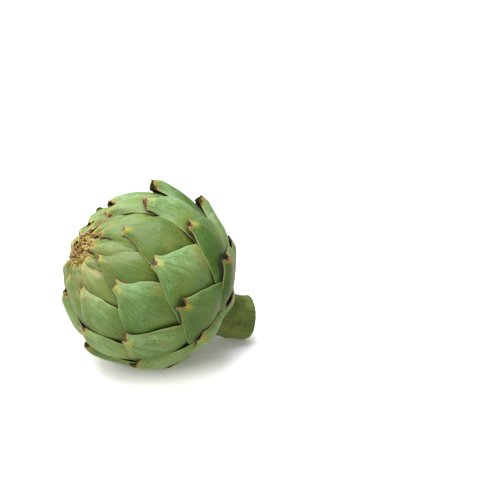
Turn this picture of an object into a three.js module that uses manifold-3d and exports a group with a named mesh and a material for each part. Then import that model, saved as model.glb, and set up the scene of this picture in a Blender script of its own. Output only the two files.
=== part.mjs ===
// A globe artichoke, cut from its plant and laid on its side: fifty overlapping bracts spiral
// around a fleshy heart, with the choke and the tender inner bracts inside and a short stem below.
// Millimetres, +Z up. The head leans on its lower bracts and on the cut end of its stem.
import * as THREE from "three";
import { mergeVertices } from "three/addons/utils/BufferGeometryUtils.js";
import Module from "manifold-3d";

// The head, as a body of revolution about its own axis
const HEAD_RADIUS = 51.1; // at its widest
const BASE_DEPTH = 40.9; // from the widest level down to the stem
const CROWN_HEIGHT = 46.3; // from the widest level up to the crown
const BASE_POWER = 2.5; // squareness of the base's outline, where 2 is an ellipse
const CROWN_POWER = 2.03;
const OUTLINE_STEP = 0.5; // degrees between the points of its outline
const SLOPE_SPAN = 1.5; // on each side of a point, to find which way the skin faces there
const LEAST_RADIUS = 1; // nothing comes nearer the axis
const TURNING_RADIUS = 4; // and nearer than this, a shift across turns a bract no further

// How it lies: the crown points towards -X, raised from the floor
const CROWN_RAISED = THREE.MathUtils.degToRad(36.3);
const PRESSED_IN = 2.7; // how far its weight flattens the bracts it lies on
const SOFT_HEIGHT = 8; // what is higher than this above the floor keeps its shape
const MOST_PRESSED = 1.15; // the deepest is pressed a little more than its depth
const FLAT_TRIM = 0.9; // skin taken off where it rests, which leaves a true flat
const HEAD_X = -6.06; // the head's centre, which puts the part's middle over the origin
const HEAD_Y = 0.98;

// The spiral of the bracts: their numbers rise from the stem to the crown
const FIRST_BRACT = -26;
const LAST_BRACT = 23;
const DIVERGENCE = THREE.MathUtils.degToRad(136.99); // turn from one bract to the next
const FIRST_TURN = THREE.MathUtils.degToRad(-62.8); // where bract 0 points, from the upper side
const SPIRAL_END = 147.5; // these four give each tip's distance from the base, along the skin
const SPIRAL_SCALE = 14.63;
const SPIRAL_KNEE = 15.2;
const SPIRAL_SOFTNESS = 5;
const SPIRAL_READ = 144; // the furthest along that the spiral's formula is read back
const FIRST_ROOT = 16.5; // where the first bract leaves the heart, along the skin
const ROOT_STEP = 0.77; // and how much further along each next one does

// One bract: its outline, from the blunt tip to the root, and its section
const LAYER_STEP = 0.45; // how much deeper each bract lies than the one before it
const MIDDLE_THICKNESS = 1.15;
const EDGE_THICKNESS = 0.35;
const FULL_WIDTH = 52;
const WIDEST_AT = 36; // from the tip
const WIDEST_SHARE = 0.6; // of the length, on a short one
const TIP_WIDTH = 6.6;
const SHOULDER = 1.35; // above 1, the outline bulges between the tip and the widest place
const ROOT_NARROWING = 0.55;
const CROWN_NARROWING = 0.02; // each bract after number 0 is this much narrower
const CROWN_TIP_NARROWING = 0.032;
const FIRST_FULL = -12; // those before it, at the stem, are narrower too
const STEM_NARROWING = 0.9;
const SHORT_WIDTH = [5, 0.75]; // the most that half the width is: a start, and a share of the length
const STEP_LENGTH = 9; // of the quads along it
const STEP_COUNT = [4, 10]; // fewest and most of them
const ACROSS_STEPS = 4;
const PILLOW = 0.7; // how far its bare middle swells
const BARE_LENGTH = 38; // of what its neighbours leave uncovered
const PILLOW_START = 6;
const LIFT_WIDTH = 15; // a lifted tip curls down to its sides over this
const LIFT_CURL = 0.7;
const LEAN_LENGTH = 45;
const SHIFT_LENGTH = 30;
const SIDE_TILT = 0.17; // one edge lies higher, over the bract three turns further in

// Bracts that lean or stand off the head: [along, across, lift, reach of the lift]
const OWN_SHAPE = {
  "-17": [0, 0, 4.5, 18],
  "-13": [0.5, 0.5, 4, 18],
  "-11": [4.5, -5, 3.6, 14],
  "-10": [1, 0, 5.6, 17],
  "-9": [0, 4, 5.5, 20],
  "-8": [1.5, -1.5, 3, 16],
  "-6": [8, 0, 2.6, 18],
  "-5": [0.5, -2, 1.2, 14],
  "-3": [-1, -5, 1.2, 14],
  "-2": [0, 0.6, 6.5, 34],
  0: [0, -0.8, 1.2, 14],
  1: [0.8, -0.4, 7.4, 16],
  2: [0, -2, 1, 14],
  3: [0, 1.4, 4.4, 15],
  5: [-1, 2.5, 1, 12],
  6: [1.5, 0, 2.2, 13],
  7: [2.8, 0, 1.8, 14],
  8: [0, 4, 1, 14],
  11: [0.6, 3.6, 1.6, 12],
};
const PLAIN_SHAPE = [0, 0, 0.6, 12];

// The stem, which bends level towards its cut end
const STEM_RADIUS = 13.5;
const NECK_RADIUS = 15.3; // where it meets the head
const NECK_SHARE = 0.4; // of its length
const STEM_STEPS = 8;
const STEM_TOP = -38.3;
const STEM_LENGTH = 31;
const STEM_BEND = THREE.MathUtils.degToRad(24);

// What is inside, all about the head's axis
const INSIDE_GAP = 1.8; // from the middle of the innermost layer
const HEART_BOTTOM = -37.8;
const HEART_STEP = 7; // bracts between the points of its outline
const HEART_FOOT = 15.6; // radius of its lower face
const HEART_DISH = [[28, -10.6], [24, -17], [14, -22], [0, -24]]; // [radius, height] of its upper face
const CHOKE = [[0, -23.2], [14, -21.2], [23.2, -16.6], [21.5, -8], [15, 1], [7, 6], [0, 7.5]];
const HOLLOW = [[25.5, -9.6], [24, -4], [18, 5], [9, 10.5], [0, 12]]; // of the inner bracts, over the choke
const INNER_RIM = -9.6;
const SHELL_START = 61; // the inner bracts' outer face runs between these, along the skin
const SHELL_END = 148;
const SHELL_STEP = 12.4;
const SHELL_DOME = 0.4;
const LATHE_SIDES = 28;

const BRACT_COLOR = 0x7f9a68;
const STEM_COLOR = 0x8f9f5c;
const HEART_COLOR = 0xe6dfb0;
const CHOKE_COLOR = 0x8d6a86;
const INNER_COLOR = 0xb9b478;

const wasm = await Module();
wasm.setup();

// The head's outline from the base (0) to the crown, as points with their distance along it
const outline = [];
for (let degree = -90; degree <= 90; degree += OUTLINE_STEP) {
  const angle = THREE.MathUtils.degToRad(degree);
  const [height, power] = angle < 0 ? [BASE_DEPTH, BASE_POWER] : [CROWN_HEIGHT, CROWN_POWER];
  const radius = HEAD_RADIUS * Math.max(Math.cos(angle), 0) ** (2 / power);
  const z = Math.sign(angle) * height * Math.abs(Math.sin(angle)) ** (2 / power);
  const last = outline.at(-1);
  const along = last ? last.along + Math.hypot(radius - last.radius, z - last.z) : 0;
  outline.push({ along, radius, z });
}
const OUTLINE_LENGTH = outline.at(-1).along;

function outlineAt(along) {
  const wanted = THREE.MathUtils.clamp(along, 0, OUTLINE_LENGTH);
  let i = outline.findIndex((point) => point.along >= wanted);
  i = Math.max(i, 1);
  const [a, b] = [outline[i - 1], outline[i]];
  const share = (wanted - a.along) / (b.along - a.along);
  return { radius: a.radius + share * (b.radius - a.radius), z: a.z + share * (b.z - a.z) };
}

// A point of the head's own frame, at a depth below the skin
function headPoint(along, across, turn, depth) {
  const { radius, z } = outlineAt(along);
  const [before, after] = [outlineAt(along - SLOPE_SPAN), outlineAt(along + SLOPE_SPAN)];
  const run = Math.hypot(after.radius - before.radius, after.z - before.z);
  const outward = (after.z - before.z) / run;
  const upward = (before.radius - after.radius) / run;
  const r = Math.max(radius - depth * outward, LEAST_RADIUS);
  const angle = turn + across / Math.max(r, TURNING_RADIUS);
  return new THREE.Vector3(r * Math.cos(angle), r * Math.sin(angle), z - depth * upward);
}

const lowestUnpressed = Math.min(
  ...outline.map(({ radius, z }) => z * Math.sin(CROWN_RAISED) - radius * Math.cos(CROWN_RAISED)),
);
const HEAD_Z = -lowestUnpressed - PRESSED_IN;
const up = new THREE.Vector3(Math.cos(CROWN_RAISED), 0, Math.sin(CROWN_RAISED)); // in the head's frame

// Flattens what would go into the floor, and less so what is just above it
function press(point) {
  const height = HEAD_Z + point.dot(up);
  const softness = THREE.MathUtils.clamp(1 - (height + PRESSED_IN) / SOFT_HEIGHT, 0, MOST_PRESSED);
  return point.addScaledVector(up, (PRESSED_IN - FLAT_TRIM) * softness ** 2);
}

const spiralAlong = (number) =>
  SPIRAL_END - SPIRAL_SCALE * Math.log1p(Math.exp((SPIRAL_KNEE - number) / SPIRAL_SOFTNESS));
const spiralNumber = (along) => {
  const left = (SPIRAL_END - Math.min(along, SPIRAL_READ)) / SPIRAL_SCALE;
  return SPIRAL_KNEE - SPIRAL_SOFTNESS * Math.log(Math.expm1(left));
};
const rootAlong = (number) => FIRST_ROOT + ROOT_STEP * (number - FIRST_BRACT);

const fade = (fromTip, reach) => Math.max(1 - fromTip / reach, 0);

function bractOutline(number, length) {
  const widestAt = Math.min(WIDEST_AT, WIDEST_SHARE * length);
  const afterFirst = Math.max(number, 0);
  const beforeFull = Math.max(FIRST_FULL - number, 0);
  const wanted = (FULL_WIDTH / 2) * (1 - CROWN_NARROWING * afterFirst) - STEM_NARROWING * beforeFull;
  const widest = Math.min(wanted, SHORT_WIDTH[0] + SHORT_WIDTH[1] * length);
  const tip = (TIP_WIDTH / 2) * (1 - CROWN_TIP_NARROWING * afterFirst);
  return (fromTip) => {
    const rise = 1 - fade(fromTip, widestAt) ** SHOULDER;
    const fall = Math.max((fromTip - widestAt) / (length - widestAt), 0);
    return (tip + (widest - tip) * rise) * (1 - ROOT_NARROWING * fall ** 2);
  };
}

// A box whose x runs across the bract, y from its root to its tip, and z out of the head
function bractGeometry(number) {
  const [shiftAlong, shiftAcross, lift, reach] = OWN_SHAPE[number] ?? PLAIN_SHAPE;
  const turn = FIRST_TURN + number * DIVERGENCE;
  const tip = spiralAlong(number) + shiftAlong;
  const length = tip - rootAlong(number);
  const halfWidth = bractOutline(number, length);

  const steps = THREE.MathUtils.clamp(Math.round(length / STEP_LENGTH), ...STEP_COUNT);
  const box = new THREE.BoxGeometry(2, 1, 1, ACROSS_STEPS, steps, 1);
  box.deleteAttribute("normal");
  box.deleteAttribute("uv");
  const geometry = mergeVertices(box);
  const places = geometry.attributes.position;
  for (let i = 0; i < places.count; i++) {
    const side = places.getX(i);
    const fromTip = (0.5 - places.getY(i)) * length;
    const across = side * halfWidth(fromTip);
    const middle = 1 - side ** 2;

    const curl = 1 - LIFT_CURL * Math.min(across / LIFT_WIDTH, 1) ** 2;
    const tipLift = lift * fade(fromTip, reach) ** 2 * curl;
    const bare = Math.max(1 - (fromTip / BARE_LENGTH) ** 2, 0);
    const swelling = PILLOW * bare * middle * Math.min(fromTip / PILLOW_START, 1);
    const along = tip - fromTip;
    const layers = number - spiralNumber(along - shiftAlong * fade(fromTip, SHIFT_LENGTH));
    const thickness = EDGE_THICKNESS + (MIDDLE_THICKNESS - EDGE_THICKNESS) * middle;
    const skinDepth = LAYER_STEP * Math.max(layers, 0) - tipLift - swelling - SIDE_TILT * side;
    const depth = skinDepth + (0.5 - places.getZ(i)) * thickness;

    const lean = shiftAcross * fade(fromTip, LEAN_LENGTH);
    const point = press(headPoint(along, across + lean, turn, depth));
    places.setXYZ(i, point.x, point.y, point.z);
  }
  return geometry;
}

const head = new THREE.Group();
head.rotation.y = CROWN_RAISED - Math.PI / 2;
head.position.set(HEAD_X, HEAD_Y, HEAD_Z);
head.updateMatrixWorld();

function solid(geometry) {
  const bare = geometry.clone();
  bare.deleteAttribute("normal");
  bare.deleteAttribute("uv");
  const merged = mergeVertices(bare);
  return new wasm.Manifold(
    new wasm.Mesh({
      numProp: 3,
      vertProperties: new Float32Array(merged.attributes.position.array),
      triVerts: new Uint32Array(merged.index.array),
    }),
  );
}

const FLOOR_SIZE = 300;
const FLOOR_DEPTH = 40;
const floorBlock = new THREE.BoxGeometry(FLOOR_SIZE, FLOOR_SIZE, FLOOR_DEPTH);
floorBlock.translate(0, 0, -FLOOR_DEPTH / 2);
floorBlock.applyMatrix4(head.matrixWorld.clone().invert());

// Cuts off what reaches below the floor, on a piece that does
function restOnFloor(geometry) {
  const places = geometry.attributes.position;
  const point = new THREE.Vector3();
  let lowest = Infinity;
  for (let i = 0; i < places.count; i++) {
    lowest = Math.min(lowest, HEAD_Z + point.fromBufferAttribute(places, i).dot(up));
  }
  if (lowest >= 0) return geometry;
  const cut = solid(geometry).subtract(solid(floorBlock)).getMesh();
  const trimmed = new THREE.BufferGeometry();
  trimmed.setAttribute("position", new THREE.BufferAttribute(cut.vertProperties, 3));
  trimmed.setIndex(new THREE.BufferAttribute(cut.triVerts, 1));
  return trimmed;
}

function stemGeometry() {
  const geometry = new THREE.CylinderGeometry(1, 1, 1, LATHE_SIDES, STEM_STEPS);
  const places = geometry.attributes.position;
  const bendRadius = STEM_LENGTH / STEM_BEND;
  for (let i = 0; i < places.count; i++) {
    const share = 0.5 - places.getY(i);
    const angle = share * STEM_BEND;
    const radius = STEM_RADIUS + (NECK_RADIUS - STEM_RADIUS) * fade(share, NECK_SHARE) ** 2;
    const across = places.getX(i) * radius;
    places.setXYZ(
      i,
      bendRadius * (1 - Math.cos(angle)) + across * Math.cos(angle),
      -places.getZ(i) * radius,
      STEM_TOP - bendRadius * Math.sin(angle) + across * Math.sin(angle),
    );
  }
  return geometry;
}

const lathe = (points) => {
  const geometry = new THREE.LatheGeometry(points.map(([r, z]) => new THREE.Vector2(r, z)), LATHE_SIDES);
  return geometry.rotateX(Math.PI / 2);
};

function insideSkin(along, depth) {
  const point = headPoint(along, 0, 0, depth);
  return [point.x, point.z];
}

function heartGeometry() {
  const side = [];
  for (let number = FIRST_BRACT; number <= LAST_BRACT; number += HEART_STEP) {
    const along = rootAlong(number);
    side.push(insideSkin(along, LAYER_STEP * (number - spiralNumber(along)) + INSIDE_GAP));
  }
  return lathe([[0, HEART_BOTTOM], [HEART_FOOT, HEART_BOTTOM], ...side, ...HEART_DISH]);
}

function innerBractsGeometry() {
  const shell = [];
  for (let along = SHELL_START; along < SHELL_END; along += SHELL_STEP) {
    shell.push(insideSkin(along, LAYER_STEP * (LAST_BRACT + 1 - spiralNumber(along)) + INSIDE_GAP));
  }
  const top = shell.at(-1)[1] + SHELL_DOME;
  return lathe([...HOLLOW.toReversed(), [shell[0][0], INNER_RIM], ...shell, [0, top]]);
}

function add(name, geometry, color, roughness) {
  const mesh = new THREE.Mesh(geometry, new THREE.MeshStandardMaterial({ color, roughness, metalness: 0 }));
  mesh.name = name;
  head.add(mesh);
}

add("stem", restOnFloor(stemGeometry()), STEM_COLOR, 0.7);
add("heart", heartGeometry(), HEART_COLOR, 0.6);
add("choke", lathe(CHOKE), CHOKE_COLOR, 0.95);
add("inner_bracts", innerBractsGeometry(), INNER_COLOR, 0.6);
for (let number = FIRST_BRACT; number <= LAST_BRACT; number++) {
  const place = String(number - FIRST_BRACT + 1).padStart(2, "0");
  add(`bract_${place}`, restOnFloor(bractGeometry(number)), BRACT_COLOR, 0.55);
}

const artichoke = new THREE.Group();
artichoke.add(head);
export default artichoke;
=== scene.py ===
import math

import bpy
import numpy as np
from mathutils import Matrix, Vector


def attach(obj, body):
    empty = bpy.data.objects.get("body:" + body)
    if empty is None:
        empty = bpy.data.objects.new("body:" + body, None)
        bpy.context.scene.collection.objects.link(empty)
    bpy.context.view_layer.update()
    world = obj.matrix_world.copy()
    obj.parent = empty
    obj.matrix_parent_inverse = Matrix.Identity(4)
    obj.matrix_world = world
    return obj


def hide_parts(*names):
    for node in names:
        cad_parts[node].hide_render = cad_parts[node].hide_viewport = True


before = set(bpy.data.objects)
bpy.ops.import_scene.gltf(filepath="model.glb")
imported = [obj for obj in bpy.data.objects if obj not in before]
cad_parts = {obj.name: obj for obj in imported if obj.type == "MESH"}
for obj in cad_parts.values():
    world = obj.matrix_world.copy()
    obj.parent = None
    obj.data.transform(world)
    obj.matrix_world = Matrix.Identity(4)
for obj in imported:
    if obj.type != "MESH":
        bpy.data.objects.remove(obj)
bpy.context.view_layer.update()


# ---------------------------------------------------------------- The outer bracts
# The leaves that are eaten one by one: fifty tough, waxy, fleshy bracts that grow in one spiral
# from the heart. Each wraps the head under the ones before it, swells where they leave it bare,
# and ends in a notched tip, where its spine has dried.

# The head's skin, which they reach: a round form about the head's own axis, from the stem to the crown.
# It lies with its crown towards -X and raised, and its own weight presses it a little flat. Lengths are
# in millimetres, and become metres when a mesh is made.
HEAD_RADIUS = 51.1
BASE_DEPTH, BASE_POWER = 40.9, 2.5
CROWN_HEIGHT, CROWN_POWER = 46.3, 2.03
CROWN_RAISED = math.radians(36.3)
PRESSED_IN = 2.7
SOFT_HEIGHT, SOFTEST = 8, 1.15
FLAT_TRIM = 0.9
HEAD_X, HEAD_Y = -6.06, 0.98
CROWN_LEAN, LEANING = 2.6, 30  # the crown closes a little below the axis
SLOPE_SPAN = 1.5  # the skin's slope is read over this much each way
LEAST_RADIUS = 4  # nothing turns about the axis more tightly than this
METRE = 1000

skin_angle = np.radians(np.arange(-90, 90.25, 0.5))
skin_height = np.where(skin_angle < 0, BASE_DEPTH, CROWN_HEIGHT)
skin_power = np.where(skin_angle < 0, BASE_POWER, CROWN_POWER)
skin_radius = HEAD_RADIUS * np.maximum(np.cos(skin_angle), 0) ** (2 / skin_power)
skin_z = np.sign(skin_angle) * skin_height * np.abs(np.sin(skin_angle)) ** (2 / skin_power)
skin_step = np.hypot(np.diff(skin_radius), np.diff(skin_z))
skin_along = np.concatenate([[0], np.cumsum(skin_step)])

lowest = (skin_z * math.sin(CROWN_RAISED) - skin_radius * math.cos(CROWN_RAISED)).min()
HEAD_Z = -lowest - PRESSED_IN


def skin_point(along):
    """The radius and the height of the skin, this far along it from the base."""
    return np.interp(along, skin_along, skin_radius), np.interp(along, skin_along, skin_z)


def head_point(along, across, turn, height):
    """A point of the head's own frame: along its skin from the base, and a height over the skin."""
    radius, z = skin_point(along)
    after, before = skin_point(along + SLOPE_SPAN), skin_point(along - SLOPE_SPAN)
    run_r, run_z = after[0] - before[0], after[1] - before[1]
    run = np.hypot(run_r, run_z)
    r = np.maximum(radius + height * run_z / run, 1)
    angle = turn + across / np.maximum(r, LEAST_RADIUS)
    lean = CROWN_LEAN * np.maximum(1 - r / LEANING, 0) ** 2 * (z > 0)
    return np.stack([r * np.cos(angle) - lean, r * np.sin(angle), z - height * run_r / run], -1)


def lay_down(points, soft=1):
    """From the head's own frame to the row frame, as it lies. What is soft is pressed flat below, and
    what isn't, as the stem, is only kept off the floor."""
    x, y, z = np.moveaxis(points, -1, 0)
    sin, cos = math.sin(CROWN_RAISED), math.cos(CROWN_RAISED)
    height = HEAD_Z + x * cos + z * sin
    softness = soft * np.clip(1 - (height + PRESSED_IN) / SOFT_HEIGHT, 0, SOFTEST)
    height = np.maximum(height + (PRESSED_IN - FLAT_TRIM) * softness**2, 0)
    return np.stack([HEAD_X + x * sin - z * cos, HEAD_Y + y, height], -1) / METRE


# The spiral that they grow in, and the outline of one
FIRST_BRACT, LAST_BRACT = -26, 23
DIVERGENCE = math.radians(136.99)
FIRST_TURN = math.radians(-62.8)
SPIRAL_END, SPIRAL_SCALE = 147.5, 14.63
SPIRAL_KNEE, SPIRAL_SOFTNESS, SPIRAL_READ = 15.2, 5, 144
FIRST_ROOT, ROOT_STEP = 16.5, 0.77
FULL_WIDTH, WIDEST_AT, WIDEST_SHARE = 52, 36, 0.6
TIP_WIDTH, SHOULDER, ROOT_NARROWING = 6.6, 1.35, 0.55
CROWN_NARROWING, CROWN_TIP_NARROWING = 0.02, 0.032
FIRST_FULL, STEM_NARROWING = -12, 0.9
SHORT_WIDTH = (5, 0.75)
NECK_DEPTH, NECK_LENGTH = 0.75, 7.0  # the outline is drawn in behind the tip
FLARE, FLARE_LENGTH = 0.5, 2.0  # and the tip itself is a little wider
WAVE, WAVE_PITCH, WAVE_START = 0.26, (0.42, 0.93), 10  # how wavy its margins are
FIRST_ROWS = 0.28  # rows of points are closer together towards the tip
ACROSS, ALONG = 44, 64  # quads of each face of a bract

# Bracts that lean or stand off, by their number in the spiral: shift along and across, lift of the
# tip and how far back it reaches, how much the tip arches down at its sides, and the depth of its
# notch. Some also have how far one corner of the tip is ahead of the other, shares of the width and of
# the tip's width, and how far back the arch reaches
OWN_SHAPE = {
    -17: (0, 0, 4.5, 18, 1.5, 2.0),
    -13: (0.5, 0.5, 4, 18, 0.8, 3.4, 2.0),
    -11: (4.5, -5, 3.6, 14, 3.4, 1.2, 1.0, 1, 1.0),
    -10: (1, 0, 5.6, 17, 4.2, 1.0, 0.4, 1.04, 1, 32),
    -9: (0, 4, 5.5, 20, 1.5, 2.0),
    -8: (1.5, -1.5, 3, 16, -0.4, 4.2, 0.3, 0.82),
    -6: (8, 0, 2.6, 18, 3.0, 0.6, 0.4, 1, 1.1),
    -5: (0.5, -2, 1.2, 14, 0.2, 2.6),
    -3: (-1, -5.5, 1.2, 14, 0.2, 2.0, -2.2),
    -2: (0, 0.6, 6.5, 34, 5.2, 0.6, 0.2, 1.06, 1, 36),
    0: (0, -0.8, 1.2, 14, 0.2, 1.8, -0.2),
    1: (0.8, -0.4, 7.4, 16, 3.6, 1.2, 0, 1, 1.05),
    2: (0, -2, 1, 14, 0.2, 1.4, 2.4),
    3: (0, 1.4, 4.4, 15, 4.0, 0.6, 0, 1, 1.35),
    5: (-1, 2.5, 1, 12, 0.2, 1.2, -0.8),
    6: (1.5, 0, 2.2, 13, 3.0, 0.8, 0, 1, 1.2),
    7: (2.8, 0, 1.8, 14, 2.6, 1.0, 0, 1, 1.2),
    8: (0, 4, 1, 14, 0.2, 1.4),
    11: (0.6, 3.6, 1.6, 12, 3.0, 0.6, 0, 1, 0.95),
}
PLAIN_SHAPE = (0, 0, 0.6, 12, 0.2, 1.5, None, 1, 1, 15)
MOST_SKEW = 0.6
LEAN_LENGTH, SHIFT_LENGTH = 45, 30
BRACT_SEED = 500


def spiral_along(number):
    """How far along the skin the tip of a bract is."""
    return SPIRAL_END - SPIRAL_SCALE * math.log1p(math.exp((SPIRAL_KNEE - number) / SPIRAL_SOFTNESS))


def spiral_number(along):
    """The bract whose tip would be that far along the skin."""
    left = (SPIRAL_END - np.minimum(along, SPIRAL_READ)) / SPIRAL_SCALE
    return SPIRAL_KNEE - SPIRAL_SOFTNESS * np.log(np.expm1(left))


def fade(distance, reach):
    return np.maximum(1 - distance / reach, 0)


def add_object(name, data):
    made = bpy.data.objects.new(name, data)
    bpy.context.collection.objects.link(made)
    return made


def add_mesh(name, points, faces):
    mesh = bpy.data.meshes.new(name)
    mesh.from_pydata(points.reshape(-1, 3).tolist(), [], faces)
    mesh.polygons.foreach_set("use_smooth", [True] * len(mesh.polygons))
    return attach(add_object(name, mesh), "root")


class Bract:
    """One bract: its outline, and its faces' heights over the skin on a grid from tip to root."""

    def __init__(self, number, tip, length, widest, tip_width, own, grid=(ACROSS, ALONG)):
        own = [*own, *PLAIN_SHAPE[len(own):]]
        self.shift_along, self.shift_across, self.lift, self.reach, self.arch = own[:5]
        self.notch, self.skew, wider, wider_tip, self.arch_reach = own[5:]
        self.number, self.tip, self.length = number, tip, length
        self.widest, self.tip_width = widest * wider, tip_width * wider_tip
        self.chance = np.random.default_rng(BRACT_SEED + number)
        if self.skew is None:
            self.skew = self.chance.uniform(-MOST_SKEW, MOST_SKEW)
        self.turn = FIRST_TURN + number * DIVERGENCE
        self.phase = number * 1.7
        self.widest_at = min(WIDEST_AT, WIDEST_SHARE * length)
        self.across_steps, self.along_steps = grid
        share = np.linspace(0, 1, self.along_steps + 1)
        self.rows = self.length * (FIRST_ROWS * share + (1 - FIRST_ROWS) * share**2)
        self.sides = np.sin(np.linspace(-math.pi / 2, math.pi / 2, self.across_steps + 1))

    def half_width(self, from_tip):
        wave = np.sin(from_tip * WAVE_PITCH[0] + self.phase)
        wave = wave + 0.6 * np.sin(from_tip * WAVE_PITCH[1] + 2 * self.phase)
        rise = 1 - fade(from_tip, self.widest_at) ** SHOULDER
        rise = rise * (1 - NECK_DEPTH * np.exp(-((from_tip / NECK_LENGTH) ** 2)))
        fall = np.maximum((from_tip - self.widest_at) / (self.length - self.widest_at), 0)
        flare = FLARE * np.exp(-from_tip / FLARE_LENGTH)
        width = self.tip_width + flare + (self.widest - self.tip_width) * rise
        width = width * (1 - ROOT_NARROWING * fall**2)
        return width + WAVE * wave * np.minimum(from_tip / WAVE_START, 1)

    def lean(self, from_tip):
        return self.shift_across * fade(from_tip, LEAN_LENGTH)

    def find(self, along, turn, radius):
        """Where points of the skin are on this bract: from its tip and across, and its half width there."""
        from_tip = self.tip - along
        around = (turn - self.turn + math.pi) % (2 * math.pi) - math.pi
        across = around * radius - self.lean(np.maximum(from_tip, 0))
        return from_tip, across, self.half_width(np.maximum(from_tip, 0))

    def inner_height(self, from_tip, side):
        """The height of this bract's inner face, between the points of its grid."""
        row = np.interp(from_tip, self.rows, np.arange(self.along_steps + 1))
        column = (np.arcsin(np.clip(side, -1, 1)) / math.pi + 0.5) * self.across_steps
        i = np.minimum(row.astype(int), self.along_steps - 1)
        j = np.minimum(column.astype(int), self.across_steps - 1)
        a, b = row - i, column - j
        under = self.under
        return (
            under[i, j] * (1 - a) * (1 - b)
            + under[i + 1, j] * a * (1 - b)
            + under[i, j + 1] * (1 - a) * b
            + under[i + 1, j + 1] * a * b
        )


SKIN_STEP = 0.2  # how far below the one before it a bare bract lies
CROWN_STEP, CROWN_REACH = 0.3, 30  # a share of that near the pole, where the bracts are thin
COVERED_AFTER, COVERED_STEP = 8, 0.25
SWELLING, SWELL_LENGTH, SWELL_START = 2.5, 38, 6
PRESSED_BELOW, LEAST_SWOLLEN = 24, 0.15  # its weight keeps the lower ones from swelling
MARGIN_DROP, MARGIN_START = 0.9, 8  # a bract's margins hug what it lies on
CURL_WIDTH, CURL_SHARE = 15, 0.7  # a lifted tip lifts less at its sides
MIDDLE_THICKNESS, EDGE_THICKNESS, THIN_TIP = 1.25, 0.32, 10
CLEARANCE = 0.12
OVERLAPPING = 34  # a bract may lie under this many before it
STIFFNESS = 26  # rounds of smoothing of what presses it down
SPINE, SPINE_SHARE = 0.9, 0.09
NOTCH_SHARE, CORNER_SHARE, CORNER_DROP = 0.7, 0.3, 0.5
TORN, TORN_POINTS, TORN_REACH = 0.16, 13, 9  # how ragged the end is, and how far back it matters
RIBS, RIB_COUNTS = 0.06, (8, 15)
DENTS, DENTS_ALONG, DENTS_ACROSS = 0.2, (0.26, 0.17), (0.2, 0.25)
NOTHING_OVER, NOTHING_NEAR = 99.0, 30.0  # the ceiling and gap of a point that no bract lies over


def smoothed(field):
    padded = np.pad(field, 1, mode="edge")
    rows = padded[:-2, 1:-1] + 2 * padded[1:-1, 1:-1] + padded[2:, 1:-1]
    padded = np.pad(rows / 4, 1, mode="edge")
    return (padded[1:-1, :-2] + 2 * padded[1:-1, 1:-1] + padded[1:-1, 2:]) / 4


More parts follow.
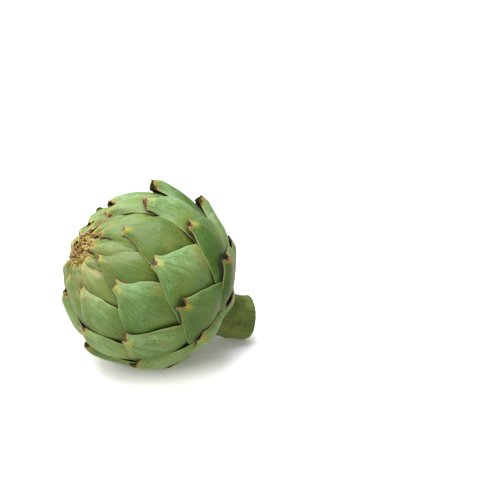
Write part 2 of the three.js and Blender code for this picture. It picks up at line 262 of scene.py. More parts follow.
def shape_bract(bract, before):
    """Works out a bract's faces, from the outermost inwards: each stays under the ones before it."""
    side = bract.sides[None, :]
    notch = bract.notch * fade(np.abs(side), NOTCH_SHARE) ** 0.8
    notch = notch - SPINE * np.exp(-((side / SPINE_SHARE) ** 2))
    corner = CORNER_DROP * np.maximum((np.abs(side) - 1 + CORNER_SHARE) / CORNER_SHARE, 0) ** 2
    chance = bract.chance
    torn = chance.normal(0, TORN, TORN_POINTS)
    ragged = np.interp(bract.sides, np.linspace(-1, 1, TORN_POINTS), torn)[None, :]
    start = notch + corner + ragged + bract.skew * side
    rows = bract.rows[:, None]
    from_tip = rows + start * np.exp(-rows / TORN_REACH)
    shown_tip = np.maximum(from_tip, 0)
    half = bract.half_width(shown_tip)
    across = side * half
    middle = 1 - side**2
    along = bract.tip - from_tip

    # Free of the others it would lie like this
    layers = bract.number - spiral_number(along - bract.shift_along * fade(from_tip, SHIFT_LENGTH))
    layers = np.maximum(layers, 0)
    radius = np.interp(along, skin_along, skin_radius)
    thin = np.clip(radius / CROWN_REACH, CROWN_STEP, 1)
    free = -thin * (SKIN_STEP * layers + COVERED_STEP * np.maximum(layers - COVERED_AFTER, 0))
    height = lay_down(head_point(along, across, bract.turn, 0))[..., 2] * METRE
    bare = np.maximum(1 - (from_tip / SWELL_LENGTH) ** 2, 0)
    bare = bare * np.clip(height / PRESSED_BELOW, LEAST_SWOLLEN, 1)
    free = free + SWELLING * bare * middle * np.minimum(shown_tip / SWELL_START, 1)
    free = free - MARGIN_DROP * np.abs(side) ** 5 * np.minimum(from_tip / MARGIN_START, 1)
    curl = 1 - CURL_SHARE * np.minimum(np.abs(across) / CURL_WIDTH, 1) ** 2
    free = free + bract.lift * fade(shown_tip, bract.reach) ** 2 * curl
    free = free - bract.arch * fade(shown_tip, bract.arch_reach) ** 1.3 * np.abs(side) ** 1.7
    phase = chance.uniform(0, 6.28, 6)
    bend = side + 0.1 * np.sin(from_tip * 0.12 + phase[0])
    ribs = np.sin(bend * RIB_COUNTS[0] + phase[1]) + 0.7 * np.sin(bend * RIB_COUNTS[1] + phase[2])
    dents = np.sin(from_tip * DENTS_ALONG[0] + across * DENTS_ACROSS[0] + phase[3])
    dents = dents + np.sin(from_tip * DENTS_ALONG[1] - across * DENTS_ACROSS[1] + phase[4])
    free = free + (RIBS * ribs + DENTS * dents) * middle * np.minimum(from_tip / SWELL_START, 1)
    fleshy = (MIDDLE_THICKNESS - EDGE_THICKNESS) * middle * (1 - 0.5 * fade(from_tip, THIN_TIP)) * thin
    thickness = EDGE_THICKNESS + fleshy

    # The ones that lie over it press it down
    reached = np.maximum(radius, LEAST_RADIUS)
    turn = bract.turn + (across + bract.lean(from_tip)) / reached
    ceiling = np.full(free.shape, NOTHING_OVER)
    clear = np.full(free.shape, NOTHING_NEAR)
    for other in before[-OVERLAPPING:]:
        other_tip, other_across, other_half = other.find(along, turn, reached)
        side_gap = np.abs(other_across) - other_half
        clear = np.minimum(clear, np.maximum(side_gap, -other_tip))
        inside = (other_tip > 0) & (other_tip < other.length) & (side_gap < 0)
        share = other_across / other_half
        over = other.inner_height(np.clip(other_tip, 0, other.length), share) - CLEARANCE
        ceiling = np.where(inside, np.minimum(ceiling, over), ceiling)
    limit = ceiling - free
    push = np.minimum(limit, 0)
    for _ in range(STIFFNESS):
        push = np.minimum(smoothed(push), limit)
    bract.outer = free + push
    bract.under = bract.outer - thickness
    bract.from_tip, bract.across, bract.along, bract.clear = from_tip, across, along, clear
    bract.edge = (1 - np.abs(side)) * half + np.zeros_like(across)


def sheet_faces(rows, columns):
    """The quads of a closed sheet with two faces of rows by columns points each."""
    faces = []
    second = rows * columns
    for i in range(rows - 1):
        for j in range(columns - 1):
            a = i * columns + j
            b = a + columns
            faces.append((a, b, b + 1, a + 1))
            faces.append((second + a, second + a + 1, second + b + 1, second + b))
    for i in range(rows - 1):
        for a, b in ((i * columns, (i + 1) * columns), ((i + 2) * columns - 1, (i + 1) * columns - 1)):
            faces.append((a, second + a, second + b, b))
    for j in range(columns - 1):
        a, b = j, (rows - 1) * columns + j
        faces.append((a, a + 1, second + a + 1, second + a))
        faces.append((b + 1, b, second + b, second + b + 1))
    return faces


def keep_values(mesh, name, values):
    """Stores a number or a vector for each point of a mesh, for its material to read."""
    vector = values.size == 3 * len(mesh.vertices)
    kept = mesh.attributes.new(name, "FLOAT_VECTOR" if vector else "FLOAT", "POINT")
    kept.data.foreach_set("vector" if vector else "value", values.astype(np.float32).ravel())


def outer_bract(number):
    own = OWN_SHAPE.get(number, PLAIN_SHAPE)
    tip = spiral_along(number) + own[0]
    length = tip - FIRST_ROOT - ROOT_STEP * (number - FIRST_BRACT)
    wanted = FULL_WIDTH / 2 * (1 - CROWN_NARROWING * max(number, 0))
    wanted -= STEM_NARROWING * max(FIRST_FULL - number, 0)
    widest = min(wanted, SHORT_WIDTH[0] + SHORT_WIDTH[1] * length)
    tip_width = TIP_WIDTH / 2 * (1 - CROWN_TIP_NARROWING * max(number, 0))
    return Bract(number, tip, length, widest, tip_width, own)


FIBRES = 22  # about how many veins half a bract has

# How light some bracts are, by number: 1 is as the rest, and a lower one is darker and greener. On -13, -8
# and -5 the darkness is partly painted shade, for shade that falls on those bracts; on the others it is their
# own tone
OWN_TONE_AND_SHADE = {-13: 0.4, -11: 1.12, -10: 1, -8: 0.64, -6: 0.7, -5: 0.6, -3: 1.05, -2: 0.7}
OWN_TONE_AND_SHADE |= {2: 1.25, 3: 0.96, 5: 0.92, 8: 0.58, 11: 1.05, 13: 0.6}
TONE_RANGE, SEED_RANGE = (0.92, 1.08), 40


def bract_points(bract):
    across = bract.across + bract.lean(bract.from_tip)
    outside = lay_down(head_point(bract.along, across, bract.turn, bract.outer))
    inside = lay_down(head_point(bract.along, across, bract.turn, bract.under))
    return np.stack([outside, inside])


def point_values(chance, veins_at, from_tip, rows, edge, clear):
    """What the materials read at each point: veins, distances from tip, margin and cover, and face."""
    shape = from_tip.shape
    seed = np.full(shape, chance.uniform(0, SEED_RANGE))
    fibre = np.stack([np.broadcast_to(veins_at, shape), from_tip, seed], -1)
    zones = np.stack([np.broadcast_to(rows, shape), edge, clear], -1)
    outer = np.stack([np.ones(shape), np.zeros(shape)])
    return {"fibre": np.stack([fibre] * 2), "zones": np.stack([zones] * 2), "outer": outer}


def bract_values(bract):
    veins_at, rows = bract.sides * FIBRES, bract.rows[:, None]
    values = point_values(bract.chance, veins_at, bract.from_tip, rows, bract.edge, bract.clear)
    youth = min((bract.number - FIRST_BRACT) / (LAST_BRACT - FIRST_BRACT), 1)
    tone_and_shade = OWN_TONE_AND_SHADE.get(bract.number, bract.chance.uniform(*TONE_RANGE))
    values["own"] = np.broadcast_to([youth, tone_and_shade, 0], (2, *bract.from_tip.shape, 3))
    return values


bract_faces = sheet_faces(ALONG + 1, ACROSS + 1)
bracts, leaves = [], []
for number in range(FIRST_BRACT, LAST_BRACT + 1):
    bract = outer_bract(number)
    shape_bract(bract, bracts)
    bracts.append(bract)
    place = number - FIRST_BRACT + 1
    leaf = add_mesh(f"outer_bract_{place:02d}", bract_points(bract), bract_faces)
    for name, values in bract_values(bract).items():
        keep_values(leaf.data, name, values)
    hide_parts(f"bract_{place:02d}")
    leaves.append(leaf)


def paint(red, green, blue):
    """A colour given from 0 to 255 as a screen shows it, as the linear colour a shader takes."""
    return [((c / 255 + 0.055) / 1.055) ** 2.4 for c in (red, green, blue)] + [1]


def feed(tree, sockets, values):
    """Gives each input its value: a plain one, or the socket that it comes from."""
    for name, value in values.items():
        if isinstance(value, bpy.types.NodeSocket):
            tree.links.new(value, sockets[name])
        else:
            sockets[name].default_value = value


def put(tree, kind, inputs=None, **settings):
    """Adds a shader node."""
    made = tree.nodes.new("ShaderNode" + kind)
    for name, value in settings.items():
        setattr(made, name, value)
    feed(tree, made.inputs, inputs or {})
    return made


def maths(tree, operation, *values):
    """A Math node's result."""
    return put(tree, "Math", dict(enumerate(values)), operation=operation).outputs[0]


def times(tree, product, *values):
    for value in values:
        product = maths(tree, "MULTIPLY", product, value)
    return product


def graded(tree, value, by, plus):
    """A value times one number, plus another."""
    return maths(tree, "MULTIPLY_ADD", value, by, plus)


def band(tree, value, start, end):
    """0 before start and 1 after end, with a soft step between. End may be the lower one."""
    inputs = {"Value": value, "From Min": start, "From Max": end}
    return put(tree, "MapRange", inputs, interpolation_type="SMOOTHSTEP").outputs[0]


def mixed(tree, share, first, second):
    """A colour between two, by a share from 0 to 1."""
    return put(tree, "Mix", {0: share, 6: first, 7: second}, data_type="RGBA").outputs[2]


def stored(tree, name):
    """A number or a vector that is kept on the mesh."""
    return put(tree, "Attribute", attribute_name=name).outputs


def parts(tree, vector):
    return put(tree, "SeparateXYZ", {0: vector}).outputs


def moved_by(tree, place, seed):
    """A place moved by its bract's own number, so that no two bracts are marked alike."""
    step = put(tree, "CombineXYZ", {0: seed, 1: seed}).outputs[0]
    return step, put(tree, "VectorMath", {0: place, 1: step}).outputs[0]


def new_material(name):
    """A material with its Principled shader."""
    made = bpy.data.materials.new(name)
    made.use_nodes = True
    return made, made.node_tree, made.node_tree.nodes["Principled BSDF"]


def new_group(name, inputs, outputs):
    """An empty node group. Inputs and outputs are {name: kind}, and an input may give (kind, value)."""
    group = bpy.data.node_groups.new(name, "ShaderNodeTree")
    for socket, kind in inputs.items():
        kind, value = kind if isinstance(kind, tuple) else (kind, None)
        made = group.interface.new_socket(socket, in_out="INPUT", socket_type="NodeSocket" + kind)
        if value is not None:
            made.default_value = value
    for socket, kind in outputs.items():
        group.interface.new_socket(socket, in_out="OUTPUT", socket_type="NodeSocket" + kind)
    ends = group.nodes.new("NodeGroupInput"), group.nodes.new("NodeGroupOutput")
    return group, ends[0].outputs, ends[1].inputs


def place_group(tree, group, inputs):
    return put(tree, "Group", inputs, node_tree=group).outputs


def noise(tree, vector, scale, detail=2.0, roughness=0.5):
    inputs = {"Vector": vector, "Scale": scale, "Detail": detail, "Roughness": roughness}
    return put(tree, "TexNoise", inputs).outputs[0]


def finish_skin(tree, shader, colour, roughness, height, strength, distance):
    """Links a skin's colour, its roughness and a bump from a height, in metres, to its shader."""
    bump = put(tree, "Bump", {"Height": height, "Strength": strength, "Distance": distance}).outputs[0]
    feed(tree, shader.inputs, {"Base Color": colour, "Roughness": roughness, "Normal": bump})


def scaled(tree, vector, by):
    return put(tree, "VectorMath", {0: vector, 1: by}, operation="MULTIPLY").outputs[0]


# The veins run from root to tip, and gather towards it: fine lines, coarser ones and faint streaks
veins, given, result = new_group(
    "plant_veins",
    {"Fibre": "Vector", "Fineness": ("Float", 1.0)},
    {"Lines": "Float", "Strands": "Float", "Streaks": "Float"},
)
for name, across_scale, along_scale, detail in (
    ("Lines", 1.9, 0.05, 3.0),
    ("Strands", 0.62, 0.035, 3.0),
    ("Streaks", 0.2, 0.02, 2.0),
):
    layer = scaled(veins, given["Fibre"], (across_scale, along_scale, 1))
    layer = put(veins, "VectorMath", {0: layer, "Scale": given["Fineness"]}, operation="SCALE").outputs[0]
    strength = band(veins, noise(veins, layer, 1.0, detail, 0.6), 0.3, 0.7)
    veins.links.new(strength, result[name])

# Small dark spots, in loose groups
specks, given, result = new_group(
    "specks",
    {"Place": "Vector", "Each Metre": ("Float", 420.0), "Share": ("Float", 0.62)},
    {"Spots": "Float"},
)
cells = put(specks, "TexVoronoi", {"Vector": given["Place"], "Scale": given["Each Metre"]})
dot = band(specks, cells.outputs["Distance"], 0.25, 0.11)
pick = put(specks, "SeparateColor", {"Color": cells.outputs["Color"]}).outputs[0]
chosen = maths(specks, "LESS_THAN", pick, given["Share"])
grouped = band(specks, noise(specks, given["Place"], 55.0), 0.42, 0.54)
specks.links.new(times(specks, dot, chosen, grouped), result["Spots"])

LEAF_DEEP = paint(74, 108, 32)
VEIN_DARK = paint(62, 92, 32)
INSIDE_PALE = paint(120, 132, 66)
INSIDE_GREEN = paint(72, 90, 34)
LEAF_GREEN = paint(97, 131, 50)
LEAF_COOL = paint(84, 130, 60)
LEAF_OLIVE = paint(118, 131, 48)
LEAF_YOUNG = paint(124, 128, 66)
BLOOM = paint(142, 172, 122)
SUN_TAN = paint(152, 144, 80)
# Painted shade under the covering edge, partly the covered part's own duller hue, and a painted shadow line
# at that edge
HIDDEN_DULL_AND_SHADE = paint(88, 94, 56)
PAINTED_CREASE_SHADOW = paint(44, 50, 26)
TIP_YELLOW = paint(176, 162, 42)
MARGIN = paint(156, 166, 106)
RUST = paint(160, 116, 74)
SCUFF = paint(142, 108, 62)
SCUFF_DARK = paint(98, 66, 34)
DRY_TAN = paint(168, 126, 78)
DRY_BROWN = paint(92, 56, 24)
SPECK = paint(40, 52, 26)

# Where each mark on a bract starts and is full, in millimetres from its tip, its margin or its cover
NEAR_TIP = (30.0, 3.0)
BARE = (-1.0, 15.0)
# The painted shade under the covering edge, and its painted shadow line
COVER_SHADE, CREASE_SHADOW = (2.6, -0.6), (1.2, -1.6)
MARGIN_EDGE, RUSTY_EDGE, RUSTY_TIP, WORN_TIP = (0.6, 0.14), (1.1, 0.1), (20.0, 3.0), (19.0, 4.0)
FLAME_TIP, YELLOW_TIP = (8.5, 1.5), (4.5, 1.2)
TAN_EDGE, BROWN_EDGE = (0.6, -0.35), (-0.2, -1.0)
YOUNG, WORN_YOUTH = (0.5, 0.95), (0.58, 0.86)  # the youth of a bract, 0 at the stem and 1 at the crown
TONE_DEPTH = 0.62
leaf_skin, tree, shader = new_material("bract_skin")
fibre = stored(tree, "fibre")["Vector"]
from_tip, from_margin, from_cover = parts(tree, stored(tree, "zones")["Vector"])
youth, tone_and_shade, _ = parts(tree, stored(tree, "own")["Vector"])
outer = stored(tree, "outer")["Fac"]
place = put(tree, "TexCoord").outputs["Object"]
fibre_parts = parts(tree, fibre)
seed, moved = moved_by(tree, place, fibre_parts[2])
vein = place_group(tree, veins, {"Fibre": fibre, "Fineness": 1.0})
each = band(tree, noise(tree, seed, 0.9), 0.36, 0.64)
patches = band(tree, noise(tree, moved, 60.0), 0.35, 0.65)
cloud = band(tree, noise(tree, moved, 170.0, 4.0, 0.65), 0.35, 0.7)
near_tip = band(tree, from_tip, *NEAR_TIP)

# The green, with its own hue on each bract, paler patches and a waxy bloom where it is bare
colour = mixed(tree, each, LEAF_GREEN, LEAF_COOL)
colour = mixed(tree, times(tree, vein["Streaks"], 0.55), LEAF_DEEP, colour)
colour = mixed(tree, times(tree, patches, 0.6), colour, LEAF_OLIVE)
tanned = band(tree, noise(tree, moved, 46.0, 4.0, 0.6), 0.52, 0.7)
colour = mixed(tree, times(tree, tanned, 0.5), colour, SUN_TAN)
colour = mixed(tree, times(tree, band(tree, youth, *YOUNG), 0.42), colour, LEAF_YOUNG)
bare = times(tree, band(tree, from_cover, *BARE), graded(tree, near_tip, 0.5, 0.75))
bloom = times(tree, graded(tree, cloud, 0.55, 0.28), bare, graded(tree, vein["Strands"], 0.45, 0.6))
colour = mixed(tree, times(tree, bloom, band(tree, tone_and_shade, 0.3, 1.05)), colour, BLOOM)
# Darker on some bracts: their own tone, and on -13, -8 and -5 partly painted shade
toned_and_shaded = graded(tree, tone_and_shade, -TONE_DEPTH, 1 + TONE_DEPTH)
colour = put(tree, "Gamma", {0: colour, 1: toned_and_shaded}).outputs[0]

# Veins, darker and closer towards the tip
dark_lines = times(tree, vein["Lines"], graded(tree, near_tip, 0.22, 0.16))
colour = mixed(tree, dark_lines, colour, LEAF_DEEP)
dark_strands = times(tree, band(tree, vein["Strands"], 0.45, 0.05), graded(tree, near_tip, 0.3, 0.12))
colour = mixed(tree, dark_strands, colour, VEIN_DARK)

# Where it goes under the one before it: darker and duller, partly the covered part's own hue and partly
# painted shade, and a dark painted shadow line along the covering edge
colour = mixed(tree, times(tree, band(tree, from_cover, *COVER_SHADE), 0.42), colour, HIDDEN_DULL_AND_SHADE)
colour = mixed(tree, times(tree, band(tree, from_cover, *CREASE_SHADOW), 0.66), colour, PAINTED_CREASE_SHADOW)

# Scuffs, a pale margin that is rusty near the tip, damage near the crown, and specks
squiggle = maths(tree, "ABSOLUTE", maths(tree, "SUBTRACT", noise(tree, moved, 330.0, 1.0), 0.5))
where = band(tree, noise(tree, moved, 48.0), 0.56, 0.62)
broken = band(tree, noise(tree, moved, 520.0), 0.5, 0.58)
scuffed = times(tree, band(tree, squiggle, 0.04, 0.012), where, broken, 0.8)
colour = mixed(tree, scuffed, colour, mixed(tree, each, SCUFF, VEIN_DARK))
colour = mixed(tree, times(tree, band(tree, from_margin, *MARGIN_EDGE), 0.6), colour, MARGIN)
rusty = band(tree, noise(tree, moved, 130.0, 4.0, 0.6), 0.52, 0.64)
rusty_tip = graded(tree, band(tree, from_tip, *RUSTY_TIP), 0.74, 0.06)
colour = mixed(tree, times(tree, rusty, band(tree, from_margin, *RUSTY_EDGE), rusty_tip), colour, RUST)
worn = times(tree, band(tree, youth, *WORN_YOUTH), band(tree, from_tip, *WORN_TIP))
damage = noise(tree, moved, 300.0, 5.0, 0.65)
colour = mixed(tree, times(tree, worn, band(tree, damage, 0.52, 0.62), 0.8), colour, RUST)
colour = mixed(tree, times(tree, worn, band(tree, damage, 0.6, 0.68), 0.7), colour, SCUFF_DARK)
spots = place_group(tree, specks, {"Place": moved})["Spots"]
colour = mixed(tree, times(tree, spots, 0.8), colour, SPECK)

# The tip: yellow behind the notch, then tan and dried brown
middle = maths(tree, "ABSOLUTE", fibre_parts[0])
flame = times(tree, band(tree, middle, FIBRES * 0.5, 0.0), band(tree, from_tip, *FLAME_TIP))
flame = times(tree, flame, graded(tree, vein["Strands"], 0.6, 0.4))
edge_yellow = times(tree, band(tree, from_tip, *YELLOW_TIP), band(tree, vein["Strands"], 0.2, 0.75))
yellow = maths(tree, "MAXIMUM", flame, times(tree, edge_yellow, 0.45))
colour = mixed(tree, yellow, colour, TIP_YELLOW)
dry_reach = graded(tree, band(tree, noise(tree, moved, 300.0), 0.42, 0.64), 2.6, 0.6)
crumbled = maths(tree, "ADD", noise(tree, moved, 1100.0, 3.0), 0.35)
ragged = graded(tree, times(tree, dry_reach, crumbled), -1.0, from_tip)
colour = mixed(tree, band(tree, ragged, *TAN_EDGE), colour, DRY_TAN)
colour = mixed(tree, band(tree, ragged, *BROWN_EDGE), colour, DRY_BROWN)
inside = mixed(tree, vein["Lines"], INSIDE_PALE, INSIDE_GREEN)
colour = mixed(tree, band(tree, outer, 0.55, 0.45), colour, inside)
height = graded(tree, vein["Lines"], 0.4, graded(tree, cloud, 0.6, vein["Strands"]))
finish_skin(tree, shader, colour, graded(tree, cloud, 0.12, 0.42), height, 0.4, 0.0003)
shader.inputs["Specular IOR Level"].default_value = 0.36
shader.inputs["Sheen Weight"].default_value = 0.1
shader.inputs["Sheen Roughness"].default_value = 0.45
for leaf in leaves:
    leaf.data.materials.append(leaf_skin)


# ---------------------------------------------------------------- The inner bracts
# Some forty thin, tender bracts, folded tightly over the choke. Only their tips show, at the crown:
# a ring of narrow ones, and in it a tuft of short curled tips, ragged, partly dried and yellow, with
# dark gaps between them, painted as near black shade on the tips' lower parts. The closed body below
# them is where the rest of them is packed together.
RING_COUNT, RING_START, RING_END = 16, 9.4, 6.8
RING_LENGTH, RING_WIDTH, RING_TIP = 24, 8.5, 1.9
RING_NARROWING = 0.4
RING_GRID = (16, 30)
TUFT_COUNT, TUFT_RADIUS, TUFT_LENGTH = 74, 8.6, 7.5
TUFT_OUTWARD, TUFT_TILT, TUFT_TWIST = 34, 22, 55  # degrees
TUFT_TIP, TUFT_ROOT = (1.0, 1.7, 0.3), (1.9, 0.9)  # half widths, and how much more at the rim
ROLL_TIP, ROLL_ROOT = (0.55, 1.0, 0.35), (1.6, 1.5)  # radii that they curl to
TUFT_RISE, RIM_DROP, HOOK, HOOK_REACH = (0.3, 2.6), 0.6, (-0.5, 1.5), 3.0
TUFT_NOTCH, TUFT_TORN, TUFT_TORN_POINTS, TUFT_TORN_REACH = (0.1, 1.0), 0.28, 9, 3
TUFT_THICKNESS, RIPPLE = 0.2, 0.22
TUFT_GRID = (10, 16)
TUFT_FIBRES, TUFT_CLEAR = 6, 10.0
SKIN_END = skin_along[-1]
RING_SEED, TUFT_SEED = 900, 1300


def join_bracts(name, points, values, grid):
    """One mesh of many small bracts that share a grid."""
    faces = sheet_faces(grid[1] + 1, grid[0] + 1)
    size = 2 * (grid[1] + 1) * (grid[0] + 1)
    polygons = [tuple(size * i + corner for corner in face) for i in range(len(points)) for face in faces]
    made = add_mesh(name, np.concatenate([p.reshape(-1, 3) for p in points]), polygons)
    for key in values[0]:
        keep_values(made.data, key, np.concatenate([v[key].ravel() for v in values]))
    return made


ring_points, ring_values = [], []
for step in range(RING_COUNT):
    number = LAST_BRACT + 1 + step
    chance = np.random.default_rng(RING_SEED + number)
    share = step / (RING_COUNT - 1)
    tip = SKIN_END - RING_START - (RING_END - RING_START) * share
    shift, lift = chance.uniform(-1, 1), chance.uniform(0.2, 1.0)
    own = (0, shift, lift, 6, chance.uniform(0, 0.8), chance.uniform(0.6, 1.4))
    narrow = 1 - RING_NARROWING * share
    bract = Bract(number, tip, RING_LENGTH, RING_WIDTH * narrow, RING_TIP * narrow, own, RING_GRID)
    shape_bract(bract, bracts)
    bracts.append(bract)
    ring_points.append(bract_points(bract))
    ring_values.append(bract_values(bract))
ring = join_bracts("inner_bracts_ring", ring_points, ring_values, RING_GRID)

tuft_points, tuft_values = [], []
for step in range(TUFT_COUNT):
    chance = np.random.default_rng(TUFT_SEED + step)
    rim = math.sqrt(1 - (step + 0.5) / TUFT_COUNT)
    turn = FIRST_TURN + (LAST_BRACT + 1 + RING_COUNT + step) * DIVERGENCE
    away = TUFT_RADIUS * rim + chance.uniform(-0.4, 0.4)
    tilt = math.radians(TUFT_OUTWARD * rim + chance.uniform(-TUFT_TILT, TUFT_TILT))
    twist = math.radians(chance.uniform(-TUFT_TWIST, TUFT_TWIST))
    half_tip = chance.uniform(*TUFT_TIP[:2]) + TUFT_TIP[2] * rim
    half_root = TUFT_ROOT[0] + TUFT_ROOT[1] * rim
    roll_tip = chance.uniform(*ROLL_TIP[:2]) + ROLL_TIP[2] * rim
    roll_root = ROLL_ROOT[0] + ROLL_ROOT[1] * rim
    rise = chance.uniform(*TUFT_RISE) - RIM_DROP * rim
    hook = chance.uniform(*HOOK)

    rows = TUFT_LENGTH * np.linspace(0, 1, TUFT_GRID[1] + 1)[:, None] ** 1.3
    side = np.sin(np.linspace(-math.pi / 2, math.pi / 2, TUFT_GRID[0] + 1))[None, :]
    notch = chance.uniform(*TUFT_NOTCH) * fade(np.abs(side), 0.6)
    torn = chance.normal(0, TUFT_TORN, TUFT_TORN_POINTS)
    ragged = np.interp(side, np.linspace(-1, 1, TUFT_TORN_POINTS), torn)
    from_tip = rows + (notch + ragged + 0.6 * side**4) * np.exp(-rows / TUFT_TORN_REACH)
    half = half_tip + (half_root - half_tip) * np.minimum(from_tip / 4, 1)
    roll = roll_tip + (roll_root - roll_tip) * np.minimum(np.maximum(from_tip, 0) / 5, 1) ** 0.8
    curl = side * half / roll
    top = fade(from_tip, HOOK_REACH) ** 2
    ripple = RIPPLE * np.sin(side * 5 + chance.uniform(0, 6.3))
    ripple = ripple * np.cos(from_tip * 2.2 + chance.uniform(0, 6.3)) * side**2
    out = np.array([math.cos(turn), math.sin(turn), 0])
    around = np.array([-math.sin(turn), math.cos(turn), 0])
    pole = np.array([0, 0, 1.0])
    rising = pole * math.cos(tilt) - out * math.sin(tilt)
    normal = pole * math.sin(tilt) + out * math.cos(tilt)
    across = around * math.cos(twist) + normal * math.sin(twist)
    normal = normal * math.cos(twist) - around * math.sin(twist)
    level = np.interp(SKIN_END - away, skin_along, skin_z) + rise
    centre = out * away + pole * level - np.array([CROWN_LEAN * 0.8, 0, 0])
    thickness = TUFT_THICKNESS + TUFT_THICKNESS * (1 - side**2) * np.minimum(from_tip / 2, 1)
    sheet = []
    for face in (0.5, -0.5):
        bent = roll + face * thickness + ripple
        reach_out = bent * np.cos(curl) - roll + hook * top
        reach_side = bent * np.sin(curl)
        place = centre - from_tip[..., None] * rising
        sheet.append(place + reach_side[..., None] * across + reach_out[..., None] * normal)
    tuft_points.append(lay_down(np.stack(sheet)))
    edge, clear = (1 - np.abs(side)) * half, np.full(from_tip.shape, TUFT_CLEAR)
    tuft_values.append(point_values(chance, side * TUFT_FIBRES, from_tip, rows, edge, clear))
tuft = join_bracts("inner_bracts_tuft", tuft_points, tuft_values, TUFT_GRID)

INNER_YELLOW = paint(166, 158, 62)
INNER_GREEN = paint(112, 128, 54)
INNER_PURPLE = paint(138, 84, 74)
INNER_TAN = paint(204, 170, 108)
INNER_OCHRE = paint(176, 138, 56)
INNER_BROWN = paint(84, 52, 22)
# Near black, painted shade for the gaps between the tips and the folds of the body below
INNER_SHADE_DARK = paint(38, 32, 10)
inner_skin, tree, shader = new_material("inner_bract_skin")
fibre = stored(tree, "fibre")["Vector"]
zones = parts(tree, stored(tree, "zones")["Vector"])
place = put(tree, "TexCoord").outputs["Object"]
seed, moved = moved_by(tree, place, parts(tree, fibre)[2])
vein = place_group(tree, veins, {"Fibre": fibre, "Fineness": 1.2})
each = noise(tree, seed, 0.9)
colour = mixed(tree, band(tree, each, 0.4, 0.6), INNER_YELLOW, INNER_GREEN)
colour = mixed(tree, times(tree, vein["Lines"], 0.4), colour, INNER_GREEN)
# Painted shade: each tip turns near black below its first few millimetres, down in the gaps
colour = mixed(tree, band(tree, zones[0], 0.5, 3.0), colour, INNER_SHADE_DARK)
flush = times(tree, band(tree, noise(tree, moved, 420.0), 0.5, 0.65), 0.8)
ochre = band(tree, noise(tree, moved, 250.0), 0.44, 0.6)
rim_colour = mixed(tree, flush, mixed(tree, ochre, INNER_TAN, INNER_OCHRE), INNER_PURPLE)
nearest = maths(tree, "MINIMUM", zones[0], zones[1])
dry = graded(tree, noise(tree, moved, 700.0, 3.0), -1.3, nearest)
colour = mixed(tree, band(tree, dry, 0.15, -0.35), colour, rim_colour)
colour = mixed(tree, band(tree, noise(tree, moved, 800.0, 2.0), 0.55, 0.68), colour, INNER_BROWN)
finish_skin(tree, shader, colour, graded(tree, vein["Lines"], 0.15, 0.5), vein["Lines"], 0.4, 0.0002)

# The imported body: folded layers, seen only in the gaps between the tips, with near black painted shade in
# its folds
packed_skin, tree, shader = new_material("packed_bract_skin")
place = put(tree, "TexCoord").outputs["Object"]
shaded_folds = band(tree, noise(tree, scaled(tree, place, (1, 1, 0.3)), 900.0, 3.0), 0.35, 0.65)
layers = mixed(tree, band(tree, noise(tree, place, 90.0), 0.4, 0.6), INNER_BROWN, INNER_GREEN)
colour = mixed(tree, shaded_folds, INNER_SHADE_DARK, layers)
finish_skin(tree, shader, colour, graded(tree, shaded_folds, 0.2, 0.6), shaded_folds, 0.6, 0.0004)
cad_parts["inner_bracts"].material_slots[0].material = packed_skin
tuft.data.materials.append(inner_skin)
ring.data.materials.append(leaf_skin)


# ---------------------------------------------------------------- The heart
# The pale, fleshy base that every bract grows from, with a shallow dish on top for the choke. It is
# whole, in one piece with the stem, and its flesh has fine threads that run up into the bracts.
FLESH_CREAM = paint(222, 214, 158)
FLESH_GREEN = paint(176, 186, 112)
FLESH_THREAD = paint(196, 188, 120)
FLESH_BROWN = paint(168, 138, 84)
heart_flesh, tree, shader = new_material("heart_flesh")
place = put(tree, "TexCoord").outputs["Object"]
threads = band(tree, noise(tree, scaled(tree, place, (1, 1, 0.16)), 520.0, 3.0, 0.6), 0.4, 0.62)
patches = band(tree, noise(tree, place, 120.0, 3.0), 0.36, 0.64)
colour = mixed(tree, patches, FLESH_CREAM, FLESH_GREEN)
colour = mixed(tree, times(tree, threads, 0.5), colour, FLESH_THREAD)
bruised = band(tree, noise(tree, place, 260.0, 4.0), 0.62, 0.74)
colour = mixed(tree, times(tree, bruised, 0.5), colour, FLESH_BROWN)
finish_skin(tree, shader, colour, graded(tree, patches, 0.14, 0.42), threads, 0.4, 0.0003)
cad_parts["heart"].material_slots[0].material = heart_flesh


# ---------------------------------------------------------------- The choke
# A dense brush of fine hairs on the dish of the heart, with the unopened florets between them. They
# lean together over the middle, and go from cream at the root to purple at the tip.
HAIR_COUNT, HAIR_SIDES, HAIR_STEPS = 1400, 3, 6
CHOKE_RADIUS = 22.4
DISH_RADIUS, DISH_HEIGHT = (0, 14, 24), (-23.2, -21.4, -16.6)
BRUSH_RADIUS, BRUSH_HEIGHT = (0, 7, 15, 21.5, 23), (7.2, 5.7, 0.7, -8, -14)
HAIR_ROOT, HAIR_TIP, HAIR_SWING = 0.34, 0.12, 0.5
LEAN_IN, HAIR_LENGTH = (0.86, 0.97), (0.82, 0.99)  # shares of the distance out and of the height
GOLDEN_TURN = math.radians(137.508)
HAIR_SEED = 4000


def tube_faces(start, rings, sides):
    """The quads between rings of points that follow each other."""
    faces = []
    for ring_start in range(start, start + (rings - 1) * sides, sides):
        for j in range(sides):
            a, b = ring_start + j, ring_start + (j + 1) % sides
            faces.append((a, b, b + sides, a + sides))
    return faces


